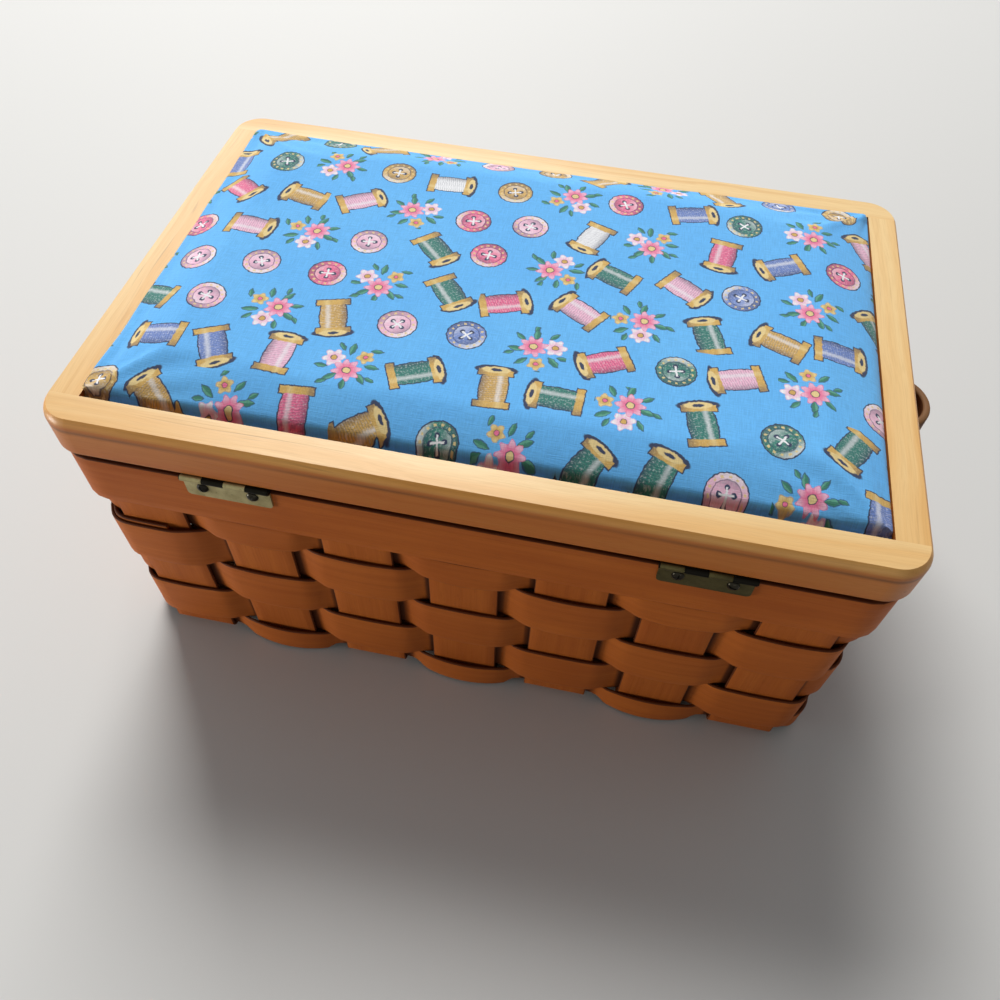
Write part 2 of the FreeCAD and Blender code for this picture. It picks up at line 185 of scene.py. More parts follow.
def pineFinish(name, lengthways, shiftAcross, shiftUp):
    look = lidWood
    finish, start = newFinish(name)
    x, y, z = start.place().parts()
    along, across = (x, y) if lengthways == "x" else (y, x)
    across, up = across + shiftAcross, z + shiftUp
    sway = (grain(start, (along, across, up), (9.0, 14.0)) - 0.5) * look["sway"]
    place = (along, across + sway, up + sway * 0.6)
    broad = grain(start, place, (2.6, 75.0), 3.0, 0.55)
    bands = grain(start, place, (4.0, 300.0), 2.0, 0.6)
    dashes = grain(start, place, (15.0, 640.0)).step(0.61, 0.74)
    patches = grain(start, place, (11.0, 45.0)).step(0.45, 0.7)
    fibre = grain(start, place, (70.0, 2600.0), 3.0)
    colour = broad.step(0.34, 0.68).mix(look["pale"], look["warm"])
    colour = (bands.step(0.5, 0.78) * 0.5).mix(colour, look["deep"])
    colour = (dashes * patches * 0.8).mix(colour, look["streak"])
    colour = (fibre.step(0.38, 0.7) * 0.16).mix(colour, look["fibre"])
    facing = start.place("Normal").parts()[2]
    # painted shade: the rounded edge, the upright faces and the undersides are darkened by which way they
    # face
    colour = ((1.0 - facing.step(0.75, 0.93)) * 0.9).mix(colour, look["round"], "MULTIPLY")
    colour = ((1.0 - facing.step(0.1, 0.5)) * 0.9).mix(colour, look["side"], "MULTIPLY")
    # a painted shade line round the sides at the foot of the rounded edge, wavered and broken up by noise
    shadeLineNoise = start.cloud(start.vector(x * 9.0, y * 9.0, z * 40.0), 3.0)
    line = abs(z - look["shadeLineAt"] + (shadeLineNoise - 0.5) * look["shadeLinePlay"]) - look["shadeLineHalf"]
    shadeLine = ink(line, look["shadeLineSoft"]) * (1.0 - facing.step(0.3, 0.8)) * shadeLineNoise.step(0.3, 0.6)
    colour = (shadeLine * 0.75).mix(colour, look["shadeLine"])
    height = fibre * 0.5 - dashes * 0.6 + bands * 0.3
    closeFinish(start, {"Base Color": colour, "Roughness": 0.38 + fibre * 0.14, "Specular IOR Level": 0.3,
                        "Coat Weight": 0.1, "Coat Roughness": 0.25,
                        "Normal": bumped(start, height, 0.05 * mm)})
    return finish


poreStain = tint(0.12, 0.03, 0.008)


# stained splint: the strip's own map runs in metres, along it and round it, by two faces and two cut edges
def splintFinish(name, face, wrap, pale, deep, cut, walls=None):
    finish, start = newFinish(name)
    u, v, unused = start.add("UVMap", {"uv_map": "strip"}).parts()
    place = (u, v, 0.0)
    fibre = grain(start, place, (38.0, 2100.0), 3.0, 0.6)
    streak = grain(start, place, (7.0, 330.0), 3.0, 0.6)
    broad = grain(start, place, (16.0, 26.0))
    pores = grain(start, place, (160.0, 1500.0), 1.0).step(0.62, 0.72)
    colour = (streak.step(0.25, 0.8) * 0.42).mix(pale, deep)
    colour = (broad.step(0.3, 0.7) * 0.35).mix(colour, deep)
    colour = (fibre.step(0.4, 0.72) * 0.18).mix(colour, deep)
    colour = (pores * 0.16).mix(colour, poreStain)
    # the cut edges take the cut colour; on the basket's splints this near black is partly the edges' own
    # darker stain and partly painted shade in the crevices between the strips
    edge = v.maths("MODULO", v, face + wrap).step(face - 0.1 * mm, face + 0.2 * mm)
    colour = (edge * 0.85).mix(colour, cut)
    if walls:        # painted shade: a weaver darkens where it passes inside the wall's middle, behind the stakes
        x, y, z = start.place().parts()
        halfX, halfY, corner = walls
        out = radial((abs(x) - halfX + corner).most(0.0), (abs(y) - halfY + corner).most(0.0)) - corner
        recessShade = (1.0 - out.step(-1.75 * mm, -1.3 * mm)) * (1.0 - v.step(face, face + wrap))
        colour = (recessShade * 0.95).mix(colour, cut)
    height = fibre * 0.6 + streak * 0.5 - pores * 0.5
    closeFinish(start, {"Base Color": colour, "Roughness": 0.5 + fibre * 0.2, "Specular IOR Level": 0.16,
                        "Normal": bumped(start, height, 0.05 * mm)})
    return finish


def boardFinish(name, pale, deep, lengthways):
    finish, start = newFinish(name)
    x, y, z = start.place().parts()
    along, across = (x, y) if lengthways == "x" else (y, x)
    fibre = grain(start, (along, across, z), (45.0, 1300.0), 3.0, 0.6)
    streak = grain(start, (along, across, z), (6.0, 130.0), 3.0, 0.6)
    colour = streak.step(0.32, 0.72).mix(pale, deep)
    colour = (fibre.step(0.42, 0.7) * 0.35).mix(colour, deep)
    closeFinish(start, {"Base Color": colour, "Roughness": 0.62 + fibre * 0.2,
                        "Normal": bumped(start, fibre + streak, 0.06 * mm)})
    return finish


# Metal finishes

def metalFinish(name, bright, tarnish, grimeAndShade, axis=None, rough=0.36):
    finish, start = newFinish(name)
    place = start.place()
    patch = start.cloud(place.scaled(120.0), 3.0, 0.55)
    speck = start.cloud(place.scaled(900.0))
    dull = patch.step(0.25, 0.78)
    colour = dull.mix(bright, tarnish)
    colour = (speck.step(0.58, 0.76) * 0.35).mix(colour, grimeAndShade)
    if axis:         # painted shade round a hinge's pin, where the knuckles sit in shade under the lid
        x, y, z = place.parts()
        close = radial(y - axis[0], z - axis[1])
        colour = (1.0 - close.step(1.5 * mm, 4.0 * mm)).mix(colour, grimeAndShade)
    closeFinish(start, {"Base Color": colour, "Metallic": 0.85 - dull * 0.3, "Roughness": rough + dull * 0.24,
                        "Specular IOR Level": 0.12, "Normal": bumped(start, patch + speck * 0.4, 0.04 * mm)})
    return finish


# Meshes

def addMesh(name, points, faces, finish, uvs=None):
    mesh = bpy.data.meshes.new(name)
    mesh.from_pydata(points, [], faces)
    if uvs:
        layer = mesh.uv_layers.new(name="strip")
        layer.uv.foreach_set("vector", [number for pair in uvs for number in pair])
    mesh.polygons.foreach_set("use_smooth", [True] * len(mesh.polygons))
    mesh.set_sharp_from_angle(angle=math.radians(55))
    mesh.materials.append(finish)
    piece = bpy.data.objects.new(name, mesh)
    bpy.context.scene.collection.objects.link(piece)
    return piece


# a closed strip of splint round a grid of middle points: stations along it, levels across it
def addStrip(name, grid, thick, edge, ring, finish, span):
    stations, levels, arcs = len(grid), len(grid[0]), 4
    turns = [math.pi / 2 * (1 - 2 * k / (arcs + 1)) for k in range(1, arcs + 1)]
    loops, distances = [], [random.random() * 9]
    for i, row in enumerate(grid):
        ahead = grid[(i + 1) % stations] if ring or i + 1 < stations else row
        behind = grid[i - 1] if ring or i > 0 else row
        acrosses = [(row[min(j + 1, levels - 1)] - row[max(j - 1, 0)]).normalized() for j in range(levels)]
        normals = [(ahead[j] - behind[j]).cross(acrosses[j]).normalized() * thick / 2 for j in range(levels)]
        loop = [row[j] + normals[j] for j in range(levels)]
        loop += [row[-1] + normals[-1] * math.sin(a) + acrosses[-1] * math.cos(a) * edge for a in turns]
        loop += [row[j] - normals[j] for j in reversed(range(levels))]
        loop += [row[0] - normals[0] * math.sin(a) - acrosses[0] * math.cos(a) * edge for a in turns]
        loops.append(loop)
        distances.append(distances[-1] + (ahead[levels // 2] - row[levels // 2]).length)
    size = len(loops[0])
    face, wrap = span
    half = spread(0, face, levels) + spread(face, face + wrap, arcs + 2)[1:-1]
    rounds = half + [face + wrap + v for v in half] + [2 * (face + wrap)]
    faces, uvs = [], []
    for i in range(stations if ring else stations - 1):
        j = (i + 1) % stations
        for k in range(size):
            m = (k + 1) % size
            faces.append((i * size + k, j * size + k, j * size + m, i * size + m))
            uvs += [(distances[i], rounds[k]), (distances[i + 1], rounds[k]),
                    (distances[i + 1], rounds[k + 1]), (distances[i], rounds[k + 1])]
    if not ring:
        for i, order in ((0, range(size)), (stations - 1, reversed(range(size)))):
            order = list(order)
            faces.append([i * size + k for k in order])
            uvs += [(distances[i], rounds[k]) for k in order]
    return addMesh(name, [point for loop in loops for point in loop], faces, finish, uvs)


# the width of a strip's face, and the way round its cut edge
def stripSpan(width, thick, edge):
    return width - 2 * edge, math.pi * math.sqrt((thick * thick / 4 + edge * edge) / 2)


def settle(piece, body, slot, *nodes):
    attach(piece, body)
    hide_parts(*nodes)


def dress(finish, *nodes):
    for name in nodes:
        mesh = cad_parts[name].data
        mesh.materials.clear()
        mesh.materials.append(finish)


def shades(look):
    return {key: look[key] for key in ("pale", "deep", "cut")}


def spread(low, high, count):
    return [low + (high - low) * i / (count - 1) for i in range(count)]


print("tools ready")
bpy.context.scene.view_settings.view_transform = "Standard"
random.seed(20)
axisX, axisY, axisZ = Vector((1, 0, 0)), Vector((0, 1, 0)), Vector((0, 0, 1))


# Stakes: flat splints down one wall, interlaced across the bottom and up the other wall

# the near-black cut colour is partly the splint's darker stain on its cut edges and partly painted shade in
# the crevices between the strips
splint = dict(thick=1.5 * mm, edge=0.45 * mm, crossing=0.1 * mm, bend=4.0 * mm, levels=7,
              cup=0.22 * mm, cupFrom=8 * mm, cupOver=12 * mm, wallSteps=30, bendSteps=7, floorSteps=110,
              pale=tint(0.45, 0.122, 0.018), deep=tint(0.26, 0.050, 0.006), cut=tint(0.04, 0.010, 0.003))
splintLook = shades(splint)
crossBoxes = [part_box("cross_stake_%d" % i) for i in range(1, 8)]
longBoxes = [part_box("long_stake_%d" % i) for i in range(1, 6)]
crossPlaces = [(low.x + high.x) / 2 for low, high in crossBoxes]
longPlaces = [(low.y + high.y) / 2 for low, high in longBoxes]
crossWidth = crossBoxes[0][1].x - crossBoxes[0][0].x
longWidth = longBoxes[0][1].y - longBoxes[0][0].y
wallX = longBoxes[0][1].x - splint["thick"] / 2
wallY = crossBoxes[0][1].y - splint["thick"] / 2
stakeTop = crossBoxes[0][1].z


# the height of a stake above the floor at t, over the stakes that it crosses
def stakeHeight(t, places, width, levels):
    for i, place in enumerate(places):
        if t <= place + width / 2:
            if i == 0 or t >= place - width / 2:
                return levels[i]
            share = (t - places[i - 1] - width / 2) / (place - places[i - 1] - width)
            return levels[i - 1] + (levels[i] - levels[i - 1]) * (1 - math.cos(math.pi * share)) / 2
    return levels[-1]


def stakeLine(reach, places, width, firstHigh):
    low = splint["thick"] / 2
    high = low + splint["thick"] + splint["crossing"]
    levels = [high if (i % 2 == 0) == firstHigh else low for i in range(len(places))]
    bend = splint["bend"]
    turns = spread(0, math.pi / 2, splint["bendSteps"])[1:]
    across = spread(bend - reach, reach - bend, splint["floorSteps"])[1:-1]
    down = [(-reach, z) for z in spread(stakeTop, levels[0] + bend, splint["wallSteps"])]
    arc = [(-reach + bend * (1 - math.cos(a)), levels[0] + bend * (1 - math.sin(a))) for a in turns]
    floor = [(t, stakeHeight(t, places, width, levels)) for t in across]
    back = [(-t, z - levels[0] + levels[-1]) for t, z in reversed(arc)]
    up = [(reach, z) for z in spread(levels[-1] + bend, stakeTop, splint["wallSteps"])]
    return down + arc + floor + back + up


def addStake(name, node, line, along, across, centre, width, finish):
    half = width / 2 - splint["edge"]
    grid = []
    for i, (t, z) in enumerate(line):
        before, after = line[max(i - 1, 0)], line[min(i + 1, len(line) - 1)]
        outward = (along * (after[0] - before[0]) + axisZ * (after[1] - before[1])).cross(across).normalized()
        cup = outward * splint["cup"] * min(1.0, max(0.0, z - splint["cupFrom"]) / splint["cupOver"])
        middle = centre + along * t + axisZ * z
        grid.append([middle + across * half * share + cup * (1 - share * share)
                     for share in spread(-1, 1, splint["levels"])])
    span = stripSpan(width, splint["thick"], splint["edge"])
    stake = addStrip(name, grid, splint["thick"], splint["edge"], False, finish, span)
    settle(stake, "basket", "splint", node)


def stakeFinish(name, width):
    return splintFinish(name, *stripSpan(width, splint["thick"], splint["edge"]), **splintLook)


crossFinish = stakeFinish("crossSplint", crossWidth)
longFinish = stakeFinish("longSplint", longWidth)
for i, x in enumerate(crossPlaces):
    line = stakeLine(wallY, longPlaces, longWidth, i % 2 == 0)
    name, node = "crossStake%d" % (i + 1), "cross_stake_%d" % (i + 1)
    addStake(name, node, line, axisY, axisX, axisX * x, crossWidth, crossFinish)
for i, y in enumerate(longPlaces):
    line = stakeLine(wallX, crossPlaces, crossWidth, i % 2 == 1)
    name, node = "longStake%d" % (i + 1), "long_stake_%d" % (i + 1)
    addStake(name, node, line, axisX, -axisY, axisY * y, longWidth, longFinish)
print("stakes:", len(crossPlaces) + len(longPlaces))


# Ring strips: a rounded rectangle, counter-clockwise from the left end of the hinge side

class Ring:
    def __init__(self, halfX, halfY, radius):
        self.radius = radius
        self.bend = math.pi / 2 * radius
        self.runs = [2 * (halfX - radius), 2 * (halfY - radius)] * 2
        self.length = sum(self.runs) + 4 * self.bend

    # the distance to a place on one side: 0 hinge side, 1 right end, 2 front, 3 left end
    def reach(self, side, place):
        start = sum(self.runs[:side]) + side * self.bend
        return start + self.runs[side] / 2 + (place if side < 2 else -place)

    def point(self, distance, out):
        distance %= self.length
        for side in range(4):
            heading = Vector((round(math.cos(side * math.pi / 2)), round(math.sin(side * math.pi / 2)), 0))
            outward = Vector((heading.y, -heading.x, 0))
            run, width = self.runs[side], self.runs[side - 1]
            centre = heading * run / 2 + outward * width / 2
            if distance <= run:
                return centre + heading * (distance - run) + outward * (self.radius + out)
            distance -= run
            if distance <= self.bend:
                turn = distance / self.radius
                return centre + (outward * math.cos(turn) + heading * math.sin(turn)) * (self.radius + out)
            distance -= self.bend


# Weavers: rings of splint that pass in and out round the stakes; each row leans out at one edge

weaver = dict(corner=14 * mm, levels=9, step=2 * mm, edge=0.5 * mm, past=0.6 * mm, rise=0.5 * mm, slack=0.1,
              crest=(2.2 * mm, 2.6 * mm, 2.6 * mm, 2.6 * mm, 3.8 * mm), hug=1.65 * mm, arch=0.1 * mm,
              crestInside=2.7 * mm, hugInside=2.5 * mm, dip=3.4 * mm, dipInside=0.8, grow=1.1 * mm,
              apart=1.5 * mm, lean=(-0.34, -0.10, -0.10, -0.12, -0.10), leanInside=0.3, leanPlay=0.05)
splice = dict(row=2, begin=12 * mm, end=-129 * mm, lift=1.62 * mm, drop=1.2 * mm)    # one row's lapped ends
rowCount = len(weaver["crest"])


# how far out a weaver lies: arched over each stake, close at its edges, and straight through between stakes
def weaverOut(way, gap, edges, crests):
    hugs = [weaver["hug"] if crest > 0 else -weaver["hugInside"] for crest in crests]
    heights = [math.copysign(max(abs(crest), abs(hug) + weaver["arch"]), crest)
               for crest, hug in zip(crests, hugs)]
    for along, edge, height, hug in zip((way, gap - way), edges, heights, hugs):
        if along <= edge:
            return hug + (height - hug) * (1 - (along / edge) ** 2)
    run = gap - edges[0] - edges[1]
    share = (way - edges[0]) / run
    leave = -2 * (heights[0] - hugs[0]) / edges[0] * run
    arrive = 2 * (heights[1] - hugs[1]) / edges[1] * run
    return (hugs[0] * (2 * share ** 3 - 3 * share ** 2 + 1) + leave * (share ** 3 - 2 * share ** 2 + share)
            + hugs[1] * (3 * share ** 2 - 2 * share ** 3) + arrive * (share ** 3 - share ** 2))


def weaverGrid(row, low, high):
    ring = Ring(wallX, wallY, weaver["corner"])
    stakes = [ring.reach(0, x) for x in crossPlaces] + [ring.reach(1, y) for y in longPlaces]
    stakes += [ring.reach(2, x) for x in reversed(crossPlaces)]
    stakes += [ring.reach(3, y) for y in reversed(longPlaces)]
    sides = ([crossWidth] * len(crossPlaces) + [longWidth] * len(longPlaces)) * 2
    crest = weaver["crest"][row - 1]
    crests = [crest if (i + row) % 2 == 0 else -weaver["crestInside"] for i in range(len(stakes))]
    crests = [crest * (1 - weaver["slack"] * random.random()) for crest in crests]
    rises = [weaver["rise"] * random.uniform(-1, 1) for stake in stakes]
    lean, play = weaver["lean"][row - 1], weaver["leanPlay"]
    leans = [lean if crest > 0 else lean * weaver["leanInside"] for crest in crests]
    leans = [lean + random.uniform(-play, play) for lean in leans]
    spliced = row == splice["row"]
    begin = stakes[-1] - splice["begin"] - ring.length if spliced else 0.0
    end = ring.length + ring.reach(0, splice["end"]) if spliced else ring.length
    count = round((end - begin) / weaver["step"])
    grid = []
    for i in range(count + spliced):
        distance = begin + (end - begin) * i / count
        place = distance % ring.length
        after = next((k for k, stake in enumerate(stakes) if stake > place), 0)
        before = after - 1
        gap = (stakes[after] - stakes[before]) % ring.length
        share = ((place - stakes[before]) % ring.length) / gap
        edges = [sides[before] / 2 + weaver["past"], sides[after] / 2 + weaver["past"]]
        near = before if share < 0.5 else after
        hold = math.cos(math.pi * share) ** 2
        lifted = 0.0
        if spliced:
            lap = ring.reach(0, splice["end"])
            free = stakes[0] + (stakes[1] - stakes[0]) * 0.5
            lifted = 1.0 if distance < lap else max(0.0, 1 - (distance - lap) / (free - lap))
            lifted = lifted * lifted * (3 - 2 * lifted)
        outside = weaverOut(share * gap, gap, edges, [crests[before], crests[after]]) / weaver["apart"]
        grown = weaver["grow"] * min(1.0, abs(outside))
        dip = weaver["dip"] * min(1.0, max(0.0, outside + weaver["dipInside"]))
        below = grown if row < rowCount else dip
        above = grown if row > 1 else 0.0
        floor = low.z + weaver["edge"] + rises[near] * hold - below
        top = high.z - weaver["edge"] + rises[near] * hold + above - splice["drop"] * lifted
        strand = []
        for level in spread(-1, 1, weaver["levels"]):
            heights = [crests[k] * (1 + leans[k] * level) for k in (before, after)]
            out = weaverOut(share * gap, gap, edges, heights) + splice["lift"] * lifted
            strand.append(ring.point(distance, out) + axisZ * (floor + (top - floor) * (level + 1) / 2))
        grid.append(strand)
    return grid, not spliced


for row in range(1, rowCount + 1):
    node = "weaver_row_%d" % row
    low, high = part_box(node)
    grid, closed = weaverGrid(row, low, high)
    span = stripSpan(high.z - low.z, splint["thick"], weaver["edge"])
    walls = (wallX, wallY, weaver["corner"])
    finish = splintFinish("weaverSplint%d" % row, *span, **splintLook, walls=walls)
    strip = addStrip("weaver%d" % row, grid, splint["thick"], weaver["edge"], closed, finish, span)
    settle(strip, "basket", "splint", node)
print("weavers:", rowCount, "rows")


# Rim bands: two bent bands that clamp the stake ends, each butted on the far side

rim = dict(corner=14 * mm, edge=0.5 * mm, butt=0.25 * mm, levels=7, step=4 * mm, sway=0.12 * mm)


def addRim(name, node, inset, seam):
    low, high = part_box("outer_rim_band")
    thick = high.y - wallY - splint["thick"] / 2
    away = (splint["thick"] + thick) / 2
    middle = wallY - away if inset else wallY + away
    ring = Ring(high.x - (high.y - middle), middle, rim["corner"] - (high.y - middle))
    begin = ring.reach(2, seam) + rim["butt"] / 2
    end = begin + ring.length - rim["butt"]
    grid = []
    for distance in spread(begin, end, round(ring.length / rim["step"])):
        sway = rim["sway"] * noise.noise(Vector((distance * 9, 3.1 * inset, 0.4)))
        levels = spread(low.z + rim["edge"], high.z - rim["edge"], rim["levels"])
        foot = ring.point(distance, 0.0)
        grid.append([foot + axisZ * (z + sway * (z - low.z) / (high.z - low.z)) for z in levels])
    span = stripSpan(high.z - low.z, thick, rim["edge"])
    finish = splintFinish(name + "Splint", *span, **splintLook)
    band = addStrip(name, grid, thick, rim["edge"], False, finish, span)
    settle(band, "basket", "rim_splint", node)


addRim("outerRim", "outer_rim_band", 0, 62 * mm)
addRim("innerRim", "inner_rim_band", 1, -48 * mm)
print("rim bands")


# End handles: bent splints that bow out from the rim and lie flat on it at both ends

# the handles' near-black pale and deep colours are partly a dark stain and partly painted shade
handle = dict(thick=3.0 * mm, bow=14.5 * mm, fillet=4.0 * mm, foot=16.0 * mm, edge=0.9 * mm, levels=7,
              footSteps=12, filletSteps=9, bowSteps=25,
              pale=tint(0.12, 0.042, 0.014), deep=tint(0.045, 0.014, 0.005), cut=tint(0.24, 0.12, 0.05))


def handleLine(rimX, tipX):
    bow, fillet = handle["bow"], handle["fillet"]
    offset = tipX - rimX - handle["thick"] / 2 - bow - handle["thick"] / 2
    footEnd = math.sqrt((bow + fillet) ** 2 - (fillet - offset) ** 2)
    turn = math.atan2(footEnd, fillet - offset)
    x = rimX + handle["thick"] / 2
    line = [(x, y) for y in spread(-footEnd - handle["foot"], -footEnd, handle["footSteps"])]
    for a in spread(0, turn, handle["filletSteps"])[1:]:
        line.append((x + fillet * (1 - math.cos(a)), -footEnd + fillet * math.sin(a)))
    for a in spread(turn, math.pi, handle["bowSteps"])[1:]:
        line.append((x + offset - bow * math.cos(a), -bow * math.sin(a)))
    return line + [(px, -py) for px, py in reversed(line[:-1])]


def addHandle(name, node, side):
    low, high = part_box("handle_right")
    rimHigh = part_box("outer_rim_band")[1]
    heights = spread(low.z + handle["edge"], high.z - handle["edge"], handle["levels"])
    grid = [[Vector((x, y, 0)) * side + axisZ * z for z in heights] for x, y in handleLine(rimHigh.x, high.x)]
    span = stripSpan(high.z - low.z, handle["thick"], handle["edge"])
    finish = splintFinish(name + "Splint", *span, **shades(handle))
    piece = addStrip(name, grid, handle["thick"], handle["edge"], False, finish, span)
    settle(piece, "basket", "handle_splint", node)


addHandle("rightHandle", "handle_right", 1)
addHandle("leftHandle", "handle_left", -1)
print("handles")


# Lid frame

rails = dict(lid_hinge_rail=("x", 0.165, -0.10), lid_front_rail=("x", -0.062, -0.12),
             lid_left_rail=("y", 0.21, -0.118), lid_right_rail=("y", -0.20, -0.104))
for node, settings in rails.items():
    dress(pineFinish(node + "Pine", *settings), node)
boards = dict(pale=tint(0.62, 0.42, 0.22), deep=tint(0.42, 0.25, 0.11))
hardboard = dict(pale=tint(0.30, 0.17, 0.085), deep=tint(0.20, 0.105, 0.05))
dress(boardFinish("basePly", lengthways="x", **boards), "base_board")
dress(boardFinish("dowelWood", lengthways="y", **boards), "frame_dowels")
dress(boardFinish("panelHardboard", lengthways="x", **hardboard), "panel_board")
print("lid frame and boards")


# Hinges, screws, tacks and brads

metals = dict(
    left=dict(bright=tint(0.46, 0.40, 0.21), tarnish=tint(0.24, 0.20, 0.09), grimeAndShade=tint(0.008, 0.007, 0.004)),
    # the right hinge is a darker copy of the left hinge's brass: painted shade
    right=dict(bright=tint(0.11, 0.092, 0.036), tarnish=tint(0.045, 0.037, 0.014),
               grimeAndShade=tint(0.006, 0.005, 0.003)),
    # the screws' near black is partly dark patina and partly painted shade
    screw=dict(bright=tint(0.03, 0.026, 0.018), tarnish=tint(0.009, 0.008, 0.006),
               grimeAndShade=tint(0.005, 0.005, 0.004), rough=0.18),
    tack=dict(bright=tint(0.50, 0.38, 0.16), tarnish=tint(0.22, 0.16, 0.07), grimeAndShade=tint(0.06, 0.045, 0.02)),
    steel=dict(bright=tint(0.56, 0.55, 0.53), tarnish=tint(0.36, 0.33, 0.30), grimeAndShade=tint(0.16, 0.11, 0.08)),
)
metal = {name: metalFinish(name + "Metal", **look) for name, look in metals.items()}
pinLow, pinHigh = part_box("hinge_left_pin")
pinAxis = ((pinLow.y + pinHigh.y) / 2, (pinLow.z + pinHigh.z) / 2)
for side in ("left", "right"):
    dress(metal[side], "hinge_%s_rim_leaf" % side)
    # the lid leaves and pins take painted shade round the pin
    knuckleMetal = metalFinish(side + "KnuckleMetal", axis=pinAxis, **metals[side])
    dress(knuckleMetal, "hinge_%s_lid_leaf" % side, "hinge_%s_pin" % side)
dress(metal["tack"], "handle_tacks")
dress(metal["steel"], "rim_brads")
screw = dict(head=2.4 * mm, shank=1.1 * mm, dome=1.5 * mm, sunk=1.1 * mm, sides=32, panelSpacing=108.72 * mm,
             slotWide=0.6 * mm, slotDeep=0.6 * mm, slotLong=2.88 * mm, crossLong=1.44 * mm)


# screws turned from a profile of (radius, distance inwards), with their slots cut into the heads
def addScrews(name, node, body, slotName, places, inward, profile, slots, finish):
    turned = inward.to_track_quat("Z", "X").to_matrix()
    sides, points, faces, cutPoints, cutFaces = screw["sides"], [], [], [], []
    for place in places:
        first = len(points)
        for radius, depth in profile:
            for k in range(sides):
                a = 2 * math.pi * k / sides
                points.append(place + turned @ Vector((radius * math.cos(a), radius * math.sin(a), depth)))
        for i in range(len(profile) - 1):
            for k in range(sides):
                m = (k + 1) % sides
                a, b = first + i * sides, first + (i + 1) * sides
                faces.append((a + m, a + k, b + k, b + m))
        faces.append([first + k for k in range(sides)])
        faces.append([first + (len(profile) - 1) * sides + k for k in reversed(range(sides))])
        spin = random.uniform(0, math.pi)
        for turn, length in slots:
            way = Matrix.Rotation(spin + turn, 3, "Z")
            corner = len(cutPoints)
            for x in (-length, length):
                for y in (-screw["slotWide"] / 2, screw["slotWide"] / 2):
                    for z in (profile[0][1] - 1 * mm, profile[0][1] + screw["slotDeep"]):
                        cutPoints.append(place + turned @ (way @ Vector((x, y, z))))
            for face in ((0, 1, 3, 2), (4, 6, 7, 5), (0, 4, 5, 1), (2, 3, 7, 6), (0, 2, 6, 4), (1, 5, 7, 3)):
                cutFaces.append([corner + k for k in face])
    piece = addMesh(name, points, faces, finish)
    cutter = addMesh(name + "Cutter", cutPoints, cutFaces, finish)
    cut = piece.modifiers.new("slots", "BOOLEAN")
    cut.object = cutter
    cut.use_self = True
    made = bpy.data.meshes.new_from_object(piece.evaluated_get(bpy.context.evaluated_depsgraph_get()))
    piece.modifiers.clear()
    piece.data = made
    made.set_sharp_from_angle(angle=math.radians(40))
    bpy.data.objects.remove(cutter)
    settle(piece, body, slotName, node)


def hingeScrewPlaces(node):
    low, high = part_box(node)
    leafBoxes = [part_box("hinge_%s_rim_leaf" % side) for side in ("left", "right")]
    middles = [(leafLow.x + leafHigh.x) / 2 for leafLow, leafHigh in leafBoxes]
    half = high.x - screw["head"] - middles[1]
    return low, high, [middle + way * half for middle in middles for way in (-1, 1)]


def sunkProfile(length):
    return [(screw["head"], 0.0), (screw["shank"], screw["sunk"]), (screw["shank"], length)]


oneSlot = [(0.0, screw["slotLong"])]
crossSlots = [(turn, screw["crossLong"]) for turn in (0.0, math.pi / 2)]
dome = [(screw["head"] * math.sin(a), -screw["dome"] * math.cos(a)) for a in spread(0.12, math.pi / 2, 8)]
low, high, spots = hingeScrewPlaces("rim_leaf_screws")
face = low.y + screw["dome"]
places = [Vector((x, face, (low.z + high.z) / 2)) for x in spots]
shank = [(screw["shank"], 0.0), (screw["shank"], high.y - face)]
addScrews("rimScrews", "rim_leaf_screws", "basket", "hinge_screw", places, axisY, dome + shank,
          oneSlot, metal["screw"])
low, high, spots = hingeScrewPlaces("lid_leaf_screws")
places = [Vector((x, (low.y + high.y) / 2, low.z)) for x in spots]
addScrews("lidScrews", "lid_leaf_screws", "lid", "hinge_screw", places, axisZ, sunkProfile(high.z - low.z),
          oneSlot, metal["screw"])
low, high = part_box("panel_screws")
rowX, rowY, spacing = high.x - screw["head"], high.y - screw["head"], screw["panelSpacing"]
spots = [(x, y) for x in (-spacing, 0.0, spacing) for y in (-rowY, rowY)] + [(-rowX, 0.0), (rowX, 0.0)]
places = [Vector((x, y, low.z)) for x, y in spots]
addScrews("panelScrews", "panel_screws", "lid", "panel_screw", places, axisZ, sunkProfile(high.z - low.z),
          crossSlots, metal["steel"])
print("metal fittings")


# Printed cotton: sewing motifs scattered over a blue ground, in millimetres of the panel's own place

cotton = dict(ground=tint(0.115, 0.46, 0.92), faded=tint(0.15, 0.52, 0.95), line=tint(0.022, 0.035, 0.085),
              white=tint(0.86, 0.87, 0.90), gold=tint(0.63, 0.39, 0.10), paleGold=tint(0.80, 0.62, 0.28),
              teal=tint(0.026, 0.20, 0.155), leaf=tint(0.03, 0.19, 0.12), paleLeaf=tint(0.10, 0.36, 0.24),
              pink=tint(0.82, 0.16, 0.31), palePink=tint(0.87, 0.50, 0.66), blue=tint(0.16, 0.25, 0.58),
              cell=(27.0, 25.0), play=(5.0, 4.0))


